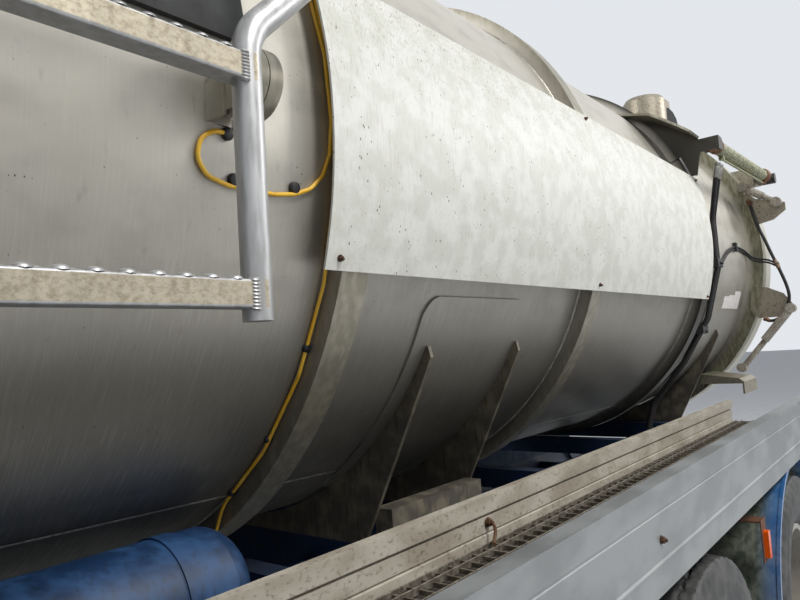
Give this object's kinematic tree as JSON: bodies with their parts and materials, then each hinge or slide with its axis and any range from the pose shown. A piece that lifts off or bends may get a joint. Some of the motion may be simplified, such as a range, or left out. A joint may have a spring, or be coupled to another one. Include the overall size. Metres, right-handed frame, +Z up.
{
  "type": "three-axle vacuum tanker truck with a round steel barrel and hose trays",
  "caption": "Weathered three-axle vacuum tanker truck with a bare steel barrel, top-hinged rear door on rams, hose trays, ladder and a blue tilting cab.",
  "frame": {"origin": "on the ground, under the middle of the truck's bounding box", "axes": "+X towards the cab, +Y to the truck's left, +Z up"},
  "size_m": [8.7, 2.83, 3.4872],
  "materials": {
    "tank_steel": "brushed",
    "panel_paint": "weathered",
    "tray_aluminium": "dull",
    "grating_steel": "galvanised",
    "blue_paint": "gloss",
    "chassis_paint": "satin",
    "black_paint": "satin",
    "cream_paint": "weathered",
    "cast_metal": "rough",
    "aluminium_tank": "satin",
    "tyre_rubber": "dusty",
    "rim_paint": "satin",
    "glass": "clear",
    "mirror_case": "matte",
    "interior_plastic": "matte",
    "lamp_lens": "gloss",
    "rod_steel": "ground",
    "cable_yellow": "satin",
    "hose_rubber": "matte",
    "guard_aluminium": "satin"
  },
  "bodies": {
    "chassis": {"chassis_frame": "chassis_paint", "engine": "cast_metal", "axles": "black_paint", "fuel_tank": "aluminium_tank", "air_tanks": "blue_paint", "side_guards": "guard_aluminium", "fenders": "blue_paint", "cab_steps": "blue_paint", "front_bumper": "blue_paint", "lamps": "lamp_lens", "tank_saddles": "tank_steel", "tank_barrel": "tank_steel", "side_panels": "panel_paint", "hose_trays": "tray_aluminium", "tray_gratings": "grating_steel", "ladder": "cream_paint", "vacuum_pump": "cast_metal", "door_locks": "cast_metal", "ladder_mat": "hose_rubber", "yellow_cable": "cable_yellow", "hydraulic_hoses": "hose_rubber", "battery_box": "black_paint", "silencer": "aluminium_tank"},
    "cab": {"cab_shell": "blue_paint", "cab_glass": "glass", "grille": "black_paint", "cab_interior": "interior_plastic", "mirrors": "mirror_case"},
    "cab_door_left": {"cab_door_left": "blue_paint", "door_glass_left": "glass"},
    "cab_door_right": {"cab_door_right": "blue_paint", "door_glass_right": "glass"},
    "steering_wheel": {"steering_wheel": "interior_plastic"},
    "knuckle_left": {"knuckle_left": "black_paint"},
    "knuckle_right": {"knuckle_right": "black_paint"},
    "tie_rod": {"tie_rod": "black_paint"},
    "front_wheel_left": {"front_tyre_left": "tyre_rubber", "front_rim_left": "rim_paint"},
    "front_wheel_right": {"front_tyre_right": "tyre_rubber", "front_rim_right": "rim_paint"},
    "rear_wheels_1_left": {"rear_tyres_1_left": "tyre_rubber", "rear_rims_1_left": "rim_paint"},
    "rear_wheels_1_right": {"rear_tyres_1_right": "tyre_rubber", "rear_rims_1_right": "rim_paint"},
    "rear_wheels_2_left": {"rear_tyres_2_left": "tyre_rubber", "rear_rims_2_left": "rim_paint"},
    "rear_wheels_2_right": {"rear_tyres_2_right": "tyre_rubber", "rear_rims_2_right": "rim_paint"},
    "rear_door": {"rear_door": "tank_steel", "door_valves": "cast_metal"},
    "manhole_lid": {"manhole_lid": "tank_steel"},
    "ram_barrels": {"ram_barrels": "cream_paint"},
    "ram_rods": {"ram_rods": "rod_steel"}
  },
  "joints": [
    {"name": "cab_tilt", "type": "hinge", "parent": "chassis", "child": "cab", "pos_m": [4.3, 0, 0.965], "axis": [0, 1, 0], "range_deg": [0, 50]},
    {"name": "cab_door_left", "type": "hinge", "parent": "cab", "child": "cab_door_left", "pos_m": [3.9855, 1.163, 1.95], "axis": [0, 0, -1], "range_deg": [0, 75]},
    {"name": "cab_door_right", "type": "hinge", "parent": "cab", "child": "cab_door_right", "pos_m": [3.9855, -1.163, 1.95], "axis": [0, 0, 1], "range_deg": [0, 75]},
    {"name": "steering_wheel", "type": "hinge", "parent": "cab", "child": "steering_wheel", "pos_m": [3.827, 0.52, 1.7651], "axis": [-0.6222, 0, 0.7828], "range_deg": [-700, 700]},
    {"name": "steer_left", "type": "hinge", "parent": "chassis", "child": "knuckle_left", "pos_m": [2.95, 0.88, 0.53], "axis": [0, 0, 1], "range_deg": [-35, 35]},
    {"name": "steer_right", "type": "hinge", "parent": "chassis", "child": "knuckle_right", "pos_m": [2.95, -0.88, 0.53], "axis": [0, 0, 1], "range_deg": [-35, 35]},
    {"name": "tie_rod", "type": "slide", "parent": "chassis", "child": "tie_rod", "axis": [0, -1, 0], "range_m": [-0.0925, 0.0925]},
    {"name": "front_wheel_left_spin", "type": "hinge", "parent": "knuckle_left", "child": "front_wheel_left", "pos_m": [2.95, 1.02, 0.53], "axis": [0, 1, 0], "continuous": true},
    {"name": "front_wheel_right_spin", "type": "hinge", "parent": "knuckle_right", "child": "front_wheel_right", "pos_m": [2.95, -1.02, 0.53], "axis": [0, 1, 0], "continuous": true},
    {"name": "rear_wheels_1_left_spin", "type": "hinge", "parent": "chassis", "child": "rear_wheels_1_left", "pos_m": [-1.27, 0.927, 0.53], "axis": [0, 1, 0], "continuous": true},
    {"name": "rear_wheels_1_right_spin", "type": "hinge", "parent": "chassis", "child": "rear_wheels_1_right", "pos_m": [-1.27, -0.927, 0.53], "axis": [0, 1, 0], "continuous": true},
    {"name": "rear_wheels_2_left_spin", "type": "hinge", "parent": "chassis", "child": "rear_wheels_2_left", "pos_m": [-2.72, 0.927, 0.53], "axis": [0, 1, 0], "continuous": true},
    {"name": "rear_wheels_2_right_spin", "type": "hinge", "parent": "chassis", "child": "rear_wheels_2_right", "pos_m": [-2.72, -0.927, 0.53], "axis": [0, 1, 0], "continuous": true},
    {"name": "rear_door", "type": "hinge", "parent": "chassis", "child": "rear_door", "pos_m": [-3.7, 0, 3.34], "axis": [0, 1, 0], "range_deg": [0, 80]},
    {"name": "manhole_lid", "type": "hinge", "parent": "chassis", "child": "manhole_lid", "pos_m": [0.62, 0, 3.34], "axis": [0, 1, 0], "range_deg": [0, 100]},
    {"name": "ram_barrels", "type": "hinge", "parent": "chassis", "child": "ram_barrels", "pos_m": [-2.56, 0, 2.705], "axis": [0, 1, 0], "range_deg": [0, 22.18]},
    {"name": "ram_rods", "type": "slide", "parent": "ram_barrels", "child": "ram_rods", "axis": [-0.9992, 0, 0.0393], "range_m": [0, 0.52538]}
  ],
  "couplings": [
    {"joint": "steer_right", "follows": "steer_left", "ratio": 1},
    {"joint": "tie_rod", "follows": "steer_left", "m_per_rad": 0.15022},
    {"joint": "steering_wheel", "follows": "steer_left", "ratio": 20},
    {"joint": "ram_barrels", "follows": "rear_door", "ratio": 0.27472},
    {"joint": "ram_rods", "follows": "rear_door", "m_per_rad": 0.37592}
  ]
}
